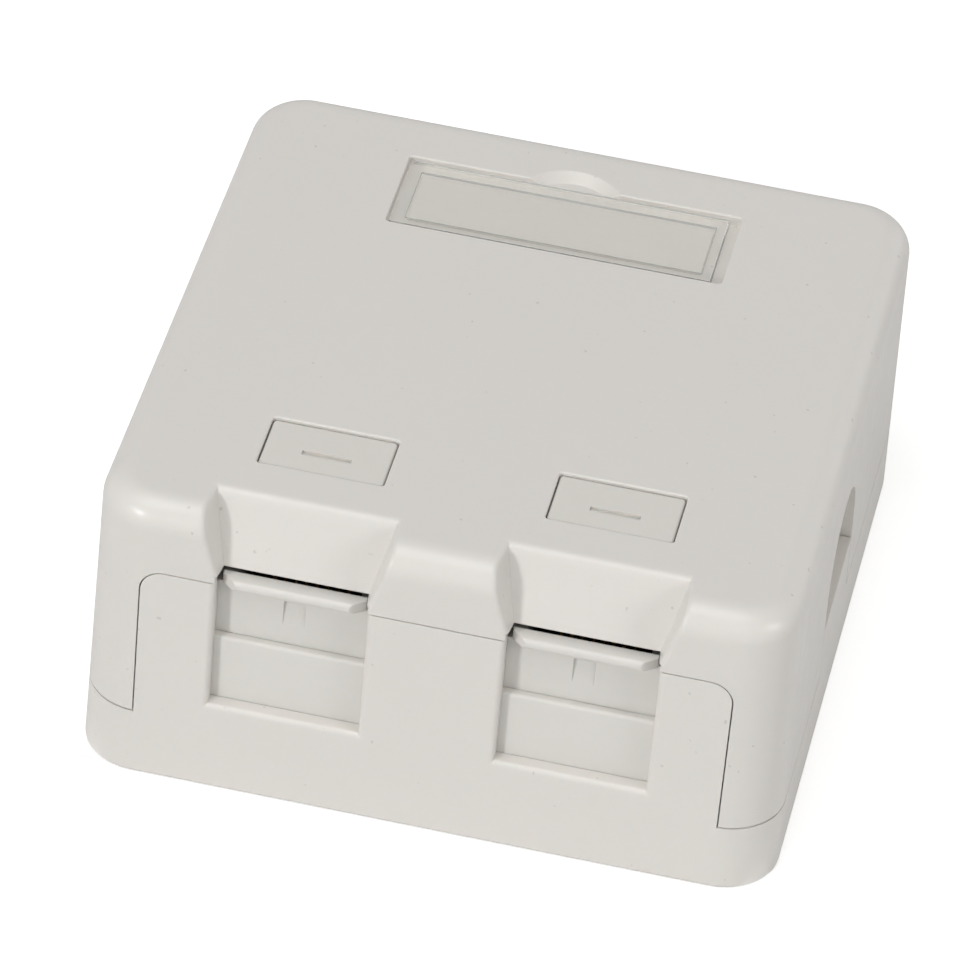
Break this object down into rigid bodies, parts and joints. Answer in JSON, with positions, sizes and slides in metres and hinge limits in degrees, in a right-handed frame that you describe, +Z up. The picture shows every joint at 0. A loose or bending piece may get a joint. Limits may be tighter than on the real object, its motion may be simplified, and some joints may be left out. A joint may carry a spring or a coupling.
{
  "type": "surface mount jack box",
  "caption": "Low square box that mounts on a wall or desk and holds shuttered jack modules, with finger scoops, a label window and icon tiles.",
  "frame": {"origin": "middle of the footprint on the underside", "axes": "+X to the right seen from the ports, +Y from the ports to the back, +Z up from the mounting surface"},
  "size_m": [0.068, 0.0696, 0.0325],
  "materials": {
    "housing": "smooth moulded off-white, semi-gloss",
    "clear_window": "clear moulded plastic",
    "card": "plain card",
    "tile": "smooth moulded off-white",
    "jack": "smooth moulded off-white",
    "spring": "drawn spring wire",
    "insert": "moulded dark plastic",
    "contact": "plated spring wire",
    "board": "green coated board",
    "terminal": "moulded pale grey",
    "blade": "tinned strip",
    "wire_cap": "moulded off-white"
  },
  "bodies": {
    "base_assembly": {"base": "housing", "jack_housing_left": "jack", "shutter_spring_left": "spring", "contact_insert_left": "insert", "contact_wires_left": "contact", "circuit_board_left": "board", "idc_block_left": "terminal", "idc_blades_left": "blade", "wire_cap_left": "wire_cap", "jack_housing_right": "jack", "shutter_spring_right": "spring", "contact_insert_right": "insert", "contact_wires_right": "contact", "circuit_board_right": "board", "idc_block_right": "terminal", "idc_blades_right": "blade", "wire_cap_right": "wire_cap"},
    "cover_assembly": {"cover": "housing", "label_card": "card"},
    "label_lens": {"label_window": "clear_window"},
    "left_tile": {"icon_tile_left": "tile"},
    "right_tile": {"icon_tile_right": "tile"},
    "left_shutter": {"shutter_left": "jack"},
    "right_shutter": {"shutter_right": "jack"}
  },
  "joints": [
    {"name": "cover_lift", "type": "slide", "parent": "base_assembly", "child": "cover_assembly", "axis": [0, 0, 1], "range_m": [0, 0.04]},
    {"name": "label_window_lift", "type": "slide", "parent": "cover_assembly", "child": "label_lens", "axis": [0, 0, 1], "range_m": [0, 0.01]},
    {"name": "left_tile_lift", "type": "slide", "parent": "cover_assembly", "child": "left_tile", "axis": [0, 0, 1], "range_m": [0, 0.008]},
    {"name": "right_tile_lift", "type": "slide", "parent": "cover_assembly", "child": "right_tile", "axis": [0, 0, 1], "range_m": [0, 0.008]},
    {"name": "left_shutter_slide", "type": "slide", "parent": "base_assembly", "child": "left_shutter", "axis": [0, 0, -1], "range_m": [0, 0.0063], "stiffness_N_per_m": 60, "springref_m": -0.005, "deforming": ["shutter_spring_left"]},
    {"name": "right_shutter_slide", "type": "slide", "parent": "base_assembly", "child": "right_shutter", "axis": [0, 0, -1], "range_m": [0, 0.0063], "stiffness_N_per_m": 60, "springref_m": -0.005, "deforming": ["shutter_spring_right"]}
  ]
}
